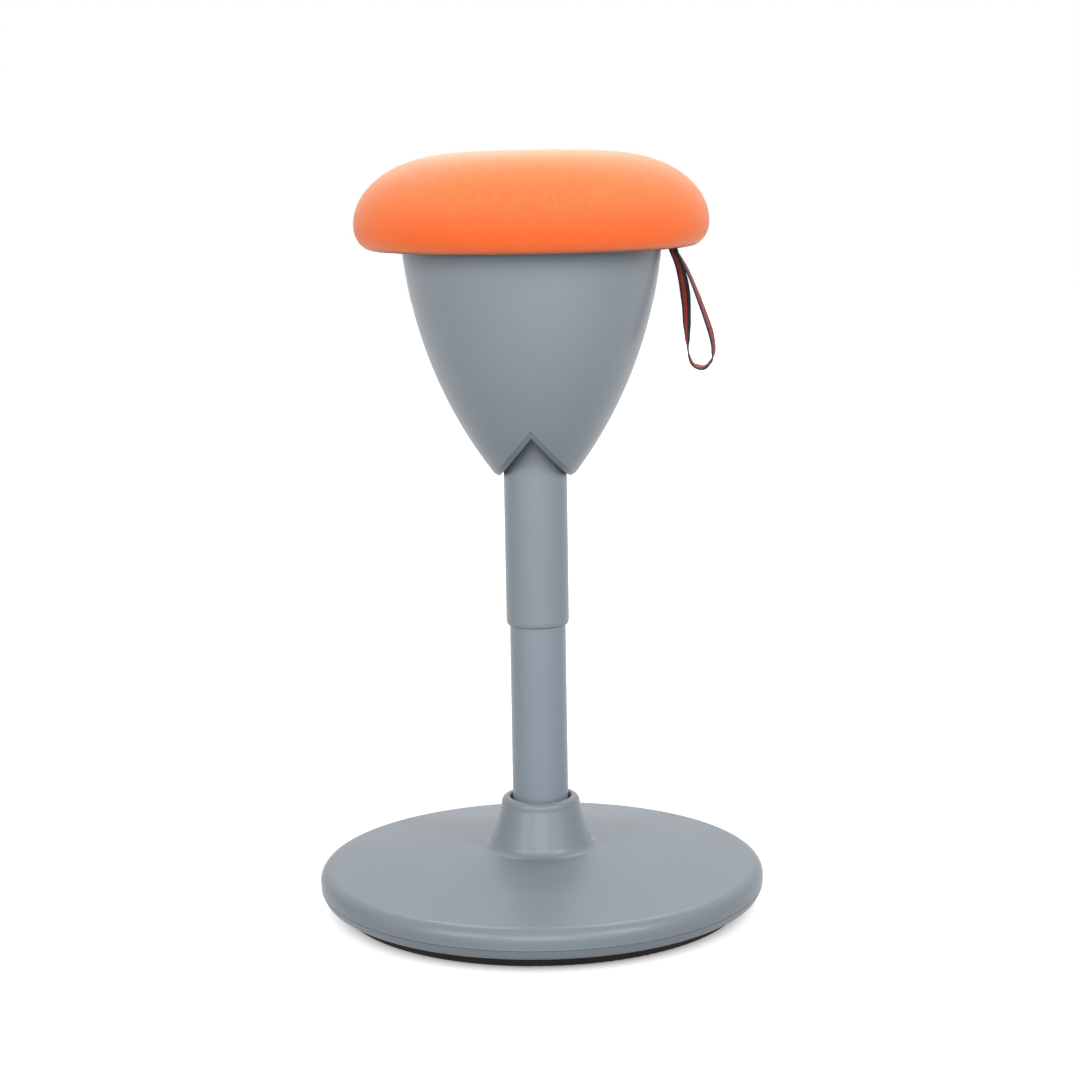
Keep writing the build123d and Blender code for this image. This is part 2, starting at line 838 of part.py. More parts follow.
# Crank bracket: base plate round the valve with two ears that carry the pivot pin
ear_inner = crank_width / 2 + ear_gap
ear_outer = ear_inner + ear_thickness
with BuildPart() as crank_bracket:
    with BuildSketch(Plane.XY.offset(bowl_top)):
        RectangleRounded(bracket_length, 2 * (ear_outer + bracket_lip), bracket_round)
        Circle(cylinder_radius - cylinder_taper + bracket_bore_gap, mode=Mode.SUBTRACT)
    extrude(amount=bracket_thickness)
    with BuildSketch(Plane.XZ) as ear_outline:
        with Locations((-toe_arm, pivot_height)):
            Circle(ear_width / 2)
        with Locations((-toe_arm - ear_shift, (bowl_top + ear_lift + pivot_height) / 2)):
            Rectangle(ear_width, pivot_height - bowl_top - ear_lift)
        with Locations((-toe_arm, pivot_height)):
            Circle(pivot_radius + fit, mode=Mode.SUBTRACT)
    ears = extrude(amount=ear_thickness, mode=Mode.PRIVATE)
    with Locations((0, -ear_inner, 0), (0, ear_outer, 0)):
        add(ears)
    with Locations((0, 0, bowl_top)):
        Cylinder(
            cylinder_radius - cylinder_taper + bracket_bore_gap,
            cylinder_top - bowl_top + 0.5,
            align=(Align.CENTER, Align.CENTER, Align.MIN),
            mode=Mode.SUBTRACT,
        )
crank_bracket.part.label = "crank_bracket"
export_step(crank_bracket.part, "parts/crank_bracket.step")

with BuildPart() as pivot_pin:
    with Locations(Location((-toe_arm, 0, pivot_height), (90, 0, 0))):
        Cylinder(pivot_radius, 2 * (ear_outer + pivot_end))
    with Locations(Location((-toe_arm, -ear_outer - pivot_head / 2, pivot_height), (90, 0, 0))):
        Cylinder(pivot_radius + pivot_end, pivot_head)
pivot_pin.part.label = "pivot_pin"
export_step(pivot_pin.part, "parts/pivot_pin.step")

# Release crank: bell crank whose toe presses the valve and whose fork is drawn by the strap
with BuildPart() as release_crank:
    with BuildSketch(Plane.XZ):
        with BuildLine():
            Polyline(
                (-toe_arm, pivot_height - 0.5 * nub_radius),
                (0, pivot_height - 0.5 * nub_radius),
                (0, pivot_height + nub_radius),
                (-toe_arm + crank_boss, pivot_height + crank_boss),
                (-toe_arm + fork_radius, pin_height),
                (-toe_arm - fork_radius, pin_height),
                (-toe_arm - crank_boss, pivot_height),
                close=True,
            )
        make_face()
        with Locations((-toe_arm, pivot_height)):
            Circle(crank_boss)
        with Locations((0, pivot_height)):
            Circle(nub_radius)
        with Locations((-toe_arm, pin_height)):
            Circle(fork_radius)
        with Locations((-toe_arm, pivot_height)):
            Circle(pivot_radius + running, mode=Mode.SUBTRACT)
        with Locations((-toe_arm, pin_height)):
            Circle(pin_radius + fit, mode=Mode.SUBTRACT)
    extrude(amount=crank_width / 2, both=True)
    with Locations((-toe_arm, 0, pivot_height + fork_start)):
        Box(
            fork_length,
            strap_width + fork_play,
            pin_height - pivot_height,
            align=(Align.CENTER, Align.CENTER, Align.MIN),
            mode=Mode.SUBTRACT,
        )
release_crank.part.label = "release_crank"
export_step(release_crank.part, "parts/release_crank.step")

with BuildPart() as strap_pin:
    with Locations(Location((-toe_arm, 0, pin_height), (90, 0, 0))):
        Cylinder(pin_radius, crank_width)
strap_pin.part.label = "strap_pin"
export_step(strap_pin.part, "parts/strap_pin.step")

# Strap tail: webbing sewn into an eye round the crank's pin, lying in the board's channel
with BuildPart() as strap_tail:
    with BuildSketch(Plane.XZ):
        with Locations((-toe_arm, pin_height)):
            Circle(eye_inner + strap_thickness)
            Circle(eye_inner, mode=Mode.SUBTRACT)
        with Locations((-toe_arm, tail_top - strap_thickness)):
            Rectangle(strap_place + toe_arm - tail_end_gap, strap_thickness, align=(Align.MIN, Align.MIN))
    extrude(amount=strap_width / 2, both=True)
strap_tail.part.label = "strap_tail"
export_step(strap_tail.part, "parts/strap_tail.step")

# Pull loop: webbing that hangs from the slot in the board and turns up into itself
across = (math.cos(math.radians(strap_turn)), math.sin(math.radians(strap_turn)), 0)
facing = (math.sin(math.radians(strap_turn)), -math.cos(math.radians(strap_turn)), 0)
loop_plane = Plane(origin=(strap_place, 0, 0), x_dir=across, z_dir=facing)
loop_top = tail_top - strap_thickness - loop_gap
loop_shape = [
    (-0.04, 0.02),
    (0.22, 0.17),
    (0.32, 0.41),
    (0.34, 0.71),
    (0.36, 0.91),
    (0.54, 1.00),
    (0.85, 0.99),
    (1.00, 0.90),
    (0.95, 0.75),
    (0.77, 0.57),
    (0.55, 0.37),
    (0.35, 0.18),
    (0.07, 0.04),
]
loop_route = [(reach * loop_width, seat_underside - drop * loop_height) for reach, drop in loop_shape]
loop_route.insert(0, (loop_route[0][0] - 0.5 * strap_thickness, loop_top))
loop_route.append((loop_route[-1][0] - strap_thickness, loop_top))


def bend_radii(route):
    """The largest arc at each corner that leaves a tenth of the shorter run straight."""
    radii = []
    for before, corner, after in zip(route, route[1:], route[2:]):
        leaving = Vector(*corner) - Vector(*before)
        arriving = Vector(*after) - Vector(*corner)
        turn = math.radians(leaving.get_angle(arriving))
        radii.append(0.45 * min(leaving.length, arriving.length) / math.tan(turn / 2))
    return radii


print("Loop bends:", [round(radius, 1) for radius in bend_radii(loop_route)])
with BuildPart() as strap_loop:
    with BuildSketch(loop_plane):
        with BuildLine():
            FilletPolyline(*loop_route, radius=bend_radii(loop_route))
        trace(line_width=strap_thickness)
    extrude(amount=strap_width / 2, both=True)
strap_loop.part.label = "strap_loop"
export_step(strap_loop.part, "parts/strap_loop.step")

# Shroud: tulip shell with a bevelled V notch in front and behind, held by snap tabs in the board
tip_radius = sleeve_radius + shroud_tip_gap
tip_level = seat_underside - shroud_height
notch_apex = tip_level + notch_height
notch_slope = notch_height / tip_radius
arc_level = seat_underside + shroud_flare_drop
arc_offset = shroud_top_radius**2 - tip_radius**2 + shroud_flare_drop**2 - (arc_level - tip_level) ** 2
arc_centre = (arc_offset / (2 * (shroud_top_radius - tip_radius)), arc_level)
shroud_arc = math.hypot(shroud_top_radius - arc_centre[0], shroud_flare_drop)
shroud_low = tip_level - notch_height / 3


def flare(height, inset=0.0):
    reach = shroud_arc - inset
    return arc_centre[0] + math.sqrt(reach**2 - (height - arc_centre[1]) ** 2)


shroud_middle = (seat_underside + shroud_low) / 2
tab_radius = flare(seat_underside, shroud_wall) - tab_gap
tab_length = board_thickness + tab_root - tab_end_gap
half_plane = Plane(origin=(0, 0, 0), x_dir=(0, -1, 0), z_dir=(-1, 0, 0))
notch_reach = 2.4 * tip_radius
with BuildPart() as shroud_half:
    with BuildSketch(half_plane):
        with BuildLine():
            ThreePointArc(
                (flare(shroud_low), shroud_low),
                (flare(shroud_middle), shroud_middle),
                (flare(seat_underside), seat_underside),
            )
            Line(
                (flare(seat_underside), seat_underside),
                (flare(seat_underside, shroud_wall), seat_underside),
            )
            ThreePointArc(
                (flare(seat_underside, shroud_wall), seat_underside),
                (flare(shroud_middle, shroud_wall), shroud_middle),
                (flare(shroud_low, shroud_wall), shroud_low),
            )
            Line((flare(shroud_low, shroud_wall), shroud_low), (flare(shroud_low), shroud_low))
        make_face()
    revolve(axis=Axis.Z, revolution_arc=180)
    with BuildSketch(Plane.XZ):
        with BuildLine():
            Polyline(
                (0, notch_apex),
                (notch_reach, notch_apex - notch_slope * notch_reach),
                (0, notch_apex - notch_slope * notch_reach),
                close=True,
            )
        make_face()
    extrude(amount=2 * shroud_top_radius, both=True, mode=Mode.SUBTRACT)
    flat_faces = shroud_half.faces().filter_by(GeomType.PLANE)
    notch_face = flat_faces.filter_by(lambda face: 0.1 < abs(face.normal_at().Z) < 0.9)[0]
    notch_edge = notch_face.edges().sort_by(SortBy.LENGTH)[-1]
    chamfer(notch_edge, length=notch_bevel_depth, length2=notch_bevel, reference=notch_face)
with BuildPart() as shroud:
    add(shroud_half.part)
    mirror(about=Plane.YZ)
    with PolarLocations(tab_radius, tab_count, start_angle=tab_turn):
        with Locations((-tab_thickness / 2, 0, seat_underside - tab_root)):
            Box(tab_thickness, tab_width, tab_length, align=(Align.CENTER, Align.CENTER, Align.MIN))
        with Locations((-tab_thickness, 0, board_top - tab_end_gap - hook_height)):
            Box(tab_thickness, tab_width, hook_height, align=(Align.MAX, Align.CENTER, Align.MIN))
shroud.part.label = "shroud"
export_step(shroud.part, "parts/shroud.step")

# Seat board: plywood disc that carries the padding, with the strap's channel and slot
slot_middle = loop_plane.from_local_coords((slot_shift, 0, 0))
with BuildPart() as seat_board:
    with BuildSketch(Plane.XY.offset(seat_underside)):
        Circle(board_radius)
        Circle(board_bore_radius, mode=Mode.SUBTRACT)
        with Locations(Location((slot_middle.X, slot_middle.Y, 0), (0, 0, strap_turn))):
            RectangleRounded(slot_width, strap_width + slot_play, slot_round, mode=Mode.SUBTRACT)
        with PolarLocations(plate_bolt_ring_radius, plate_bolt_count, start_angle=plate_bolt_turn):
            Circle(tee_barrel_radius + fit, mode=Mode.SUBTRACT)
        with PolarLocations(tab_radius - tab_thickness / 2, tab_count, start_angle=tab_turn):
            Rectangle(tab_thickness + 2 * loose, tab_width + 2 * loose, mode=Mode.SUBTRACT)
    extrude(amount=board_thickness)
    with BuildSketch(Plane.XY.offset(board_top)):
        with PolarLocations(plate_bolt_ring_radius, plate_bolt_count, start_angle=plate_bolt_turn):
            Circle(tee_flange_radius + fit)
    extrude(amount=-tee_flange_thickness, mode=Mode.SUBTRACT)
    with BuildSketch(Plane.XY.offset(board_top)):
        with PolarLocations(tab_radius - tab_thickness, tab_count, start_angle=tab_turn):
            Rectangle(2 * tab_thickness + 2 * loose, tab_width + 2 * loose)
    extrude(amount=-hook_recess, mode=Mode.SUBTRACT)
    with Locations((channel_start, 0, board_top)):
        Box(
            hem_radius - channel_start,
            strap_width + channel_play,
            tail_depth + strap_thickness + loose,
            align=(Align.MIN, Align.CENTER, Align.MAX),
            mode=Mode.SUBTRACT,
        )
seat_board.part.label = "seat_board"
export_step(seat_board.part, "parts/seat_board.step")


# Padding outline: elliptical shoulder, low crown and a tighter lower edge
crown_turn = 85.0


def cushion_face(inset, low_radius):
    shoulder = shoulder_inset - inset
    rise = shoulder_rise - inset
    inner = seat_radius - shoulder_inset
    turn = math.radians(crown_turn)
    join = (inner + shoulder * math.cos(turn), seat_widest + rise * math.sin(turn))
    fall = rise / shoulder / math.tan(turn)
    crown = join[1] + join[0] * fall / 2
    low = seat_widest - edge_drop + inset
    with BuildSketch(Plane.XZ, mode=Mode.PRIVATE) as outline:
        with BuildLine():
            ThreePointArc((0, crown), (join[0] / 2, join[1] + 0.375 * join[0] * fall), join)
            EllipticalCenterArc((inner, seat_widest), shoulder, rise, start_angle=0, arc_size=crown_turn)
            EllipticalCenterArc(
                (seat_radius - edge_inset, seat_widest),
                edge_inset - inset,
                edge_drop - inset,
                start_angle=270,
                arc_size=90,
            )
            Polyline(
                (seat_radius - edge_inset, low),
                (low_radius, low),
                (low_radius, seat_widest),
                (0, seat_widest),
                (0, crown),
            )
        make_face()
    return outline.sketch


# Seat cover: fabric skin over the crown and edge, hemmed under the board
with BuildPart() as seat_cover:
    with BuildSketch(Plane.XZ):
        add(cushion_face(0, hem_radius))
    revolve(axis=Axis.Z)
    with BuildSketch(Plane.XZ):
        add(cushion_face(cover_thickness, hem_radius - hem_lap))
    revolve(axis=Axis.Z, mode=Mode.SUBTRACT)
seat_cover.part.label = "seat_cover"
export_step(seat_cover.part, "parts/seat_cover.step")

# Seat foam: pad on the board, wrapped down round the board's edge
with BuildPart() as seat_foam:
    with BuildSketch(Plane.XZ):
        add(cushion_face(cover_thickness + fit, board_radius + fit))
    revolve(axis=Axis.Z)
    with BuildSketch(Plane.XY.offset(board_top)):
        Circle(board_radius + fit)
    extrude(amount=seat_widest - board_top)
seat_foam.part.label = "seat_foam"
export_step(seat_foam.part, "parts/seat_foam.step")
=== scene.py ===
import json
import math
import random

import bmesh
import bpy
from mathutils import Matrix, Vector


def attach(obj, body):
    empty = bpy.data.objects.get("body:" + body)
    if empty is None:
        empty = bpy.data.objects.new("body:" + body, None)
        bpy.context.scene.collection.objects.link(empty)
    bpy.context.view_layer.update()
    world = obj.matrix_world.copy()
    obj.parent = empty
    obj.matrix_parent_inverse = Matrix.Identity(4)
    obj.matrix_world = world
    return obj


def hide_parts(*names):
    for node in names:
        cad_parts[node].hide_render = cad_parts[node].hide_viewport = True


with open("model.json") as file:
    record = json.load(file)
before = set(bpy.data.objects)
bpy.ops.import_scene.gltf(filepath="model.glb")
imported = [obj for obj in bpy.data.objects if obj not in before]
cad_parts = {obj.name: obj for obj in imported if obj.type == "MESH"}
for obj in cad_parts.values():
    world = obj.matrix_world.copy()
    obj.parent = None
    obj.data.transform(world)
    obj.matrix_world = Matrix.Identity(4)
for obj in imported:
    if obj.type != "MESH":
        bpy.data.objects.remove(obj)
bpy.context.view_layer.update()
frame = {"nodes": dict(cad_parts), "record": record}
scene = bpy.context.scene
nodes = frame["nodes"]


def linear(r, g, b):
    """An 8-bit display colour as Blender's linear RGBA."""
    out = []
    for c in (r, g, b):
        c /= 255
        out.append(c / 12.92 if c <= 0.04045 else ((c + 0.055) / 1.055) ** 2.4)
    return (*out, 1.0)


def new_object(name, data):
    obj = bpy.data.objects.new(name, data)
    scene.collection.objects.link(obj)
    return obj


# Camera: in front and a little to the strap's side, level with the seat, tipped down

TURN, PITCH, ROLL = math.radians(3.0), math.radians(9.28), math.radians(0.95)
AWAY, HIGH = 2.049, 0.668
cam_data = bpy.data.cameras.new("camera")
cam_data.sensor_width = 36
cam_data.sensor_fit = "HORIZONTAL"
cam_data.lens = 77.9
cam_data.shift_x = 0.0033
cam = new_object("camera", cam_data)
cam.matrix_world = (
    Matrix.Translation((AWAY * math.sin(TURN), -AWAY * math.cos(TURN), HIGH))
    @ Matrix.Rotation(TURN, 4, "Z")
    @ Matrix.Rotation(math.pi / 2 - PITCH, 4, "X")
    @ Matrix.Rotation(-ROLL, 4, "Z")
)
scene.camera = cam


# Node helpers for procedural materials


class Nodes:
    """Adds shader nodes to one material and links them."""

    def __init__(self, name):
        self.material = bpy.data.materials.new(name)
        self.material.use_nodes = True
        self.tree = self.material.node_tree
        self.shader = self.tree.nodes["Principled BSDF"]
        self.coordinates = None

    def add(self, kind, **sockets):
        node = self.tree.nodes.new(kind)
        for name, value in sockets.items():
            name = name.replace("_", " ")
            if name in node.inputs:
                self.feed(node.inputs[name], value)
            else:
                setattr(node, name.replace(" ", "_"), value)
        return node

    def feed(self, socket, value):
        if isinstance(value, bpy.types.NodeSocket):
            self.tree.links.new(value, socket)
        else:
            socket.default_value = value

    def math(self, operation, a, b=0.0):
        node = self.tree.nodes.new("ShaderNodeMath")
        node.operation = operation
        self.feed(node.inputs[0], a)
        self.feed(node.inputs[1], b)
        return node.outputs[0]

    def ramp(self, value, low, high, out_low=0.0, out_high=1.0):
        node = self.tree.nodes.new("ShaderNodeMapRange")
        node.interpolation_type = "SMOOTHSTEP"
        for i, x in enumerate((value, low, high, out_low, out_high)):
            self.feed(node.inputs[i], x)
        return node.outputs[0]

    def mix(self, share, a, b):
        node = self.tree.nodes.new("ShaderNodeMix")
        node.data_type = "RGBA"
        self.feed(node.inputs[0], share)
        self.feed(node.inputs[6], a)
        self.feed(node.inputs[7], b)
        return node.outputs[2]

    def noise(self, scale, detail=3.0, rough=0.5, where=None):
        node = self.tree.nodes.new("ShaderNodeTexNoise")
        node.inputs["Scale"].default_value = scale
        node.inputs["Detail"].default_value = detail
        node.inputs["Roughness"].default_value = rough
        self.feed(node.inputs["Vector"], where or self.place())
        return node.outputs["Fac"]

    def place(self):
        if self.coordinates is None:
            self.coordinates = self.tree.nodes.new("ShaderNodeTexCoord").outputs["Object"]
        return self.coordinates

    def bump(self, height, strength, distance, normal=None):
        node = self.tree.nodes.new("ShaderNodeBump")
        node.inputs["Strength"].default_value = strength
        node.inputs["Distance"].default_value = distance
        self.feed(node.inputs["Height"], height)
        if normal is not None:
            self.feed(node.inputs["Normal"], normal)
        return node.outputs["Normal"]

    def set(self, **sockets):
        for name, value in sockets.items():
            self.feed(self.shader.inputs[name.replace("_", " ")], value)


# Materials of the rigid pieces

NOISE_SPAN = (0.3, 0.7)
PLATING_SHADE = 0.78


def moulded_plastic(name, colour, darker, rough=(0.32, 0.43), grain=0.00012):
    """Satin moulded plastic: fine spark-eroded grain, faint flow mottling."""
    n = Nodes(name)
    mottle = n.noise(9.0, detail=3.0, rough=0.55)
    grains = n.noise(1500.0, detail=2.0, rough=0.6)
    wide = n.noise(55.0, detail=2.0, rough=0.5)
    waves = n.bump(wide, strength=0.05, distance=0.0006)
    n.set(
        Base_Color=n.mix(n.ramp(mottle, *NOISE_SPAN), darker, colour),
        Roughness=n.ramp(grains, *NOISE_SPAN, *rough),
        Specular_IOR_Level=0.5,
        Normal=n.bump(grains, strength=0.22, distance=grain, normal=waves),
    )
    return n.material


def coated_metal(name, colour, darker, rough=(0.30, 0.42)):
    """Powder-coated steel: soft orange peel and an even tone."""
    n = Nodes(name)
    peel = n.noise(420.0, detail=2.0, rough=0.5)
    mottle = n.noise(14.0, detail=2.0, rough=0.5)
    n.set(
        Base_Color=n.mix(n.ramp(mottle, *NOISE_SPAN), darker, colour),
        Roughness=n.ramp(peel, *NOISE_SPAN, *rough),
        Specular_IOR_Level=0.45,
        Normal=n.bump(peel, strength=0.12, distance=0.0002),
    )
    return n.material


def plated_steel(name, colour, rough=(0.26, 0.42)):
    """Zinc-plated or turned steel with fine machining marks."""
    n = Nodes(name)
    stretch = n.add("ShaderNodeMapping", Vector=n.place())
    stretch.inputs["Scale"].default_value = (1.0, 1.0, 12.0)
    marks = n.noise(260.0, detail=3.0, rough=0.6, where=stretch.outputs["Vector"])
    dull = n.noise(40.0, detail=3.0, rough=0.55)
    darker = (*(PLATING_SHADE * c for c in colour[:3]), 1.0)
    n.set(
        Base_Color=n.mix(n.ramp(dull, 0.35, 0.7), colour, darker),
        Metallic=1.0,
        Roughness=n.ramp(marks, *NOISE_SPAN, *rough),
        Normal=n.bump(marks, strength=0.15, distance=0.0001),
    )
    return n.material


def rubber(name, colour, dusty):
    """Matt moulded rubber with a little bloom."""
    n = Nodes(name)
    grains = n.noise(900.0, detail=2.0, rough=0.6)
    bloom = n.noise(18.0, detail=4.0, rough=0.6)
    n.set(
        Base_Color=n.mix(n.ramp(bloom, 0.45, 0.8), colour, dusty),
        Roughness=n.ramp(grains, *NOISE_SPAN, 0.66, 0.82),
        Specular_IOR_Level=0.3,
        Normal=n.bump(grains, strength=0.3, distance=0.00015),
    )
    return n.material


def plywood(name):
    """Birch ply coloured near-black as painted shade under the seat: long grain on the faces, veneer
    lines on the edge.
    """
    n = Nodes(name)
    stretch = n.add("ShaderNodeMapping", Vector=n.place())
    stretch.inputs["Scale"].default_value = (1.0, 14.0, 60.0)
    grain = n.noise(16.0, detail=5.0, rough=0.6, where=stretch.outputs["Vector"])
    n.set(
        # Painted shade: near-black ply, so that little light bounces onto the band under the seat
        Base_Color=n.mix(n.ramp(grain, 0.35, 0.68), linear(40, 36, 33), linear(24, 22, 20)),
        Roughness=0.62,
        Normal=n.bump(grain, strength=0.15, distance=0.0003),
    )
    return n.material


# Knit: thread pitches, slubs per metre, facing of side and crown, heights between which the painted top
# light fades from the hem's deeper tone to the crown's paler one

THREAD_WIDE, THREAD_TALL, THREADS_ROUND = 0.0016, 0.0013, 600
SLUB_WIDE, SLUB_LONG, SLUB_RADIUS = 330.0, 90.0, 0.15
SIDE_FACING, CROWN_FACING = 0.62, 0.78
HEM_TONE, CROWN_TONE, TONE_DRIFT = 0.599, 0.643, 0.006


def knit_fabric(name):
    """Tight stretch knit in two thread directions, lying flat on the crown and round the side."""
    n = Nodes(name)
    apart = n.add("ShaderNodeSeparateXYZ", Vector=n.place()).outputs
    normal = n.tree.nodes.new("ShaderNodeNewGeometry").outputs["Normal"]
    facing = n.add("ShaderNodeSeparateXYZ", Vector=normal).outputs[2]
    angle = n.math("ARCTAN2", apart[1], apart[0])

    def threads(value, pitch):
        return n.math("SINE", n.math("MULTIPLY", value, math.tau / pitch))

    flat = n.math("MULTIPLY", threads(apart[0], THREAD_WIDE), threads(apart[1], THREAD_TALL))
    round_pitch = math.tau / THREADS_ROUND
    side = n.math("MULTIPLY", threads(angle, round_pitch), threads(apart[2], THREAD_TALL))
    top = n.ramp(n.math("ABSOLUTE", facing), SIDE_FACING, CROWN_FACING)
    rest = n.math("SUBTRACT", 1.0, top)

    def joined(on_top, on_side):
        return n.math("ADD", n.math("MULTIPLY", on_top, top), n.math("MULTIPLY", on_side, rest))

    weave = n.math("MULTIPLY_ADD", joined(flat, side), 0.5)
    weave.node.inputs[2].default_value = 0.5
    round_side = n.add(
        "ShaderNodeCombineXYZ",
        X=n.math("MULTIPLY", angle, SLUB_WIDE * SLUB_RADIUS),
        Y=n.math("MULTIPLY", apart[2], SLUB_LONG),
    )
    over_top = n.add(
        "ShaderNodeCombineXYZ",
        X=n.math("MULTIPLY", apart[0], SLUB_WIDE),
        Y=n.math("MULTIPLY", apart[1], SLUB_LONG),
    )
    slub_side = n.noise(1.0, detail=2.0, rough=0.5, where=round_side.outputs["Vector"])
    slub_top = n.noise(1.0, detail=2.0, rough=0.5, where=over_top.outputs["Vector"])
    slub = joined(slub_top, slub_side)
    fuzz = n.noise(1900.0, detail=2.0, rough=0.7)
    drift = n.noise(12.0, detail=3.0, rough=0.5)
    fine = n.noise(420.0, detail=3.0, rough=0.6)
    # Painted top light: the crown is paler and the hem deeper by height, standing in for light from
    # above and sheen
    level = n.math("ADD", apart[2], n.math("MULTIPLY", drift, TONE_DRIFT))
    painted_top_light = n.ramp(level, HEM_TONE, CROWN_TONE)
    body = n.mix(painted_top_light, linear(254, 117, 50), linear(255, 147, 90))
    body = n.mix(n.ramp(fine, 0.35, 0.75, 0.0, 0.2), body, linear(255, 160, 108))
    thread = n.mix(n.ramp(weave, 0.1, 0.9, 0.3, 0.0), body, linear(230, 96, 42))
    thread = n.mix(n.ramp(slub, 0.35, 0.7, 0.0, 0.3), thread, linear(255, 122, 60))
    height = n.math("ADD", weave, n.math("MULTIPLY", fuzz, 0.5))
    n.set(
        Base_Color=thread,
        Diffuse_Roughness=1.0,
        Roughness=0.88,
        Specular_IOR_Level=0.15,
        Sheen_Weight=0.8,
        Sheen_Roughness=0.4,
        Sheen_Tint=linear(255, 225, 205),
        Normal=n.bump(height, strength=0.3, distance=0.00035),
    )
    return n.material


# Webbing, in millimetres across and along the tape

STRIPE_SHIFT, STRIPE_INNER, STRIPE_OUTER = 0.5, 2.0, 2.5
STRIPE_WOBBLE = 0.5
RIB_PITCH, YARN_PITCH = 0.9, 0.8


def webbing_fabric(name):
    """Woven tape: ribbed dark borders and a red middle stripe, placed by the strip's own UV."""
    n = Nodes(name)
    uv = n.tree.nodes.new("ShaderNodeTexCoord").outputs["UV"]
    along, across, _ = n.add("ShaderNodeSeparateXYZ", Vector=uv).outputs
    off = n.math("ABSOLUTE", n.math("ADD", across, STRIPE_SHIFT))
    wobble = n.math("MULTIPLY", n.math("SUBTRACT", n.noise(900.0), 0.5), STRIPE_WOBBLE)
    edge = n.ramp(n.math("ADD", off, wobble), STRIPE_INNER, STRIPE_OUTER)
    ribs = n.math("SINE", n.math("MULTIPLY", along, math.tau / RIB_PITCH))
    yarns = n.math("SINE", n.math("MULTIPLY", across, math.tau / YARN_PITCH))
    cloth = n.math("MULTIPLY", ribs, yarns)
    red = n.mix(n.ramp(n.noise(500.0), *NOISE_SPAN), linear(200, 44, 36), linear(236, 70, 54))
    dark = n.mix(n.ramp(n.noise(500.0), *NOISE_SPAN), linear(28, 31, 32), linear(50, 54, 55))
    colour = n.mix(edge, red, dark)
    colour = n.mix(n.ramp(cloth, -1.0, 1.0, 0.35, 0.0), colour, linear(18, 14, 14))
    n.set(
        Base_Color=colour,
        Roughness=0.78,
        Specular_IOR_Level=0.25,
        Sheen_Weight=0.3,
        Sheen_Roughness=0.4,
        Normal=n.bump(cloth, strength=0.5, distance=0.00025),
    )
    return n.material


# Finishes, one for each material slot of the record; the foot takes a darker copy of the grey plastic,
# as painted shade

grey = moulded_plastic("satin grey plastic", linear(136, 146, 154), linear(133, 143, 151))
# Painted shade: the same grey plastic made darker on the foot, for how dimly the foot is lit
grey_foot_painted_shade = moulded_plastic("satin grey with painted foot shade", linear(131, 141, 149), linear(128, 138, 146))
grey_tube = coated_metal("grey powder coat", linear(138, 149, 159), linear(136, 147, 157))
black_rubber = rubber("black rubber", linear(26, 23, 24), linear(40, 37, 37))
dark_steel = coated_metal("black coated steel", linear(34, 34, 36), linear(27, 27, 29), (0.38, 0.5))
bright_steel = plated_steel("zinc plated steel", linear(186, 188, 190))
nylon = moulded_plastic("natural nylon", linear(214, 210, 196), linear(203, 199, 184), (0.36, 0.46))
ply = plywood("birch plywood")
orange = knit_fabric("orange knit")
webbing = webbing_fabric("red webbing")
foam = moulded_plastic("cut foam", linear(232, 222, 186), linear(222, 211, 172), (0.85, 0.95), 0.0006)

finishes = {
    "grey_plastic": grey,
    "grey_paint": grey_tube,
    "black_rubber": black_rubber,
    "dark_steel": dark_steel,
    "bright_steel": bright_steel,
    "nylon": nylon,
    "plywood": ply,
    "foam": foam,
    "orange_fabric": orange,
    "webbing": webbing,
}
# The foot's pieces take the darker copy, as painted shade
painted_shade_finish = {"base_cover": grey_foot_painted_shade, "base_pan": grey_foot_painted_shade}
for part in frame["record"]["subparts"]:
    slots = nodes[part["node"]].data.materials
    slots.clear()
    slots.append(painted_shade_finish.get(part["node"], finishes[part["material_slot"]]))


# Pull loop: flat woven tape along the loop's route, given as (across the loop, height) from the slot

LOOP_PLACE, LOOP_TURN = 0.1225, math.radians(28)
LOOP_ROUTE = [
    (-0.0022, 0.6005),
    (-0.0016, 0.5900),
    (0.0075, 0.5737),
    (0.0131, 0.5477),
    (0.0139, 0.5151),
    (0.0148, 0.4934),
    (0.0221, 0.4836),
    (0.0349, 0.4847),
    (0.0410, 0.4945),
    (0.0390, 0.5108),
    (0.0316, 0.5303),
    (0.0226, 0.5520),
    (0.0130, 0.5727),
    (0.0023, 0.5879),
    (0.0017, 0.6005),
]
# Turn of the tape about its line, as (share of its length, degrees)
LOOP_TWIST = [
    (0, 3),
    (0.05, -6),
    (0.2, -17),
    (0.3, -7),
    (0.36, 8),
    (0.39, 25),
    (0.44, 35),
    (0.48, 22),
    (0.525, -15),
    (0.57, -46),
    (0.64, -50),
    (0.74, -46),
    (0.82, -40),
    (0.87, -37),
    (0.91, -33),
    (0.96, -20),
    (1, -3),
]
ACROSS = Vector((math.cos(LOOP_TURN), math.sin(LOOP_TURN), 0))
FACING = Vector((math.sin(LOOP_TURN), -math.cos(LOOP_TURN), 0))
TAPE_WIDTH, TAPE_THICK = 0.012, 0.0012
TAPE_COLUMNS, TAPE_SQUARENESS, TAPE_EDGE = 10, 8, 0.35
ROUTE_STEPS = 14
MILLIMETRES = 1000


def spline_points(points):
    """The points of the smooth line whose control points these are."""
    curve = bpy.data.curves.new("route", "CURVE")
    curve.dimensions = "3D"
    spline = curve.splines.new("NURBS")
    spline.points.add(len(points) - 1)
    for p, at in zip(spline.points, points):
        p.co = (*at, 1)
    spline.order_u = 3
    spline.use_endpoint_u = True
    spline.resolution_u = ROUTE_STEPS
    holder = new_object("route", curve)
    line = bpy.data.meshes.new_from_object(holder)
    found = [v.co.copy() for v in line.vertices]
    bpy.data.objects.remove(holder)
    return found


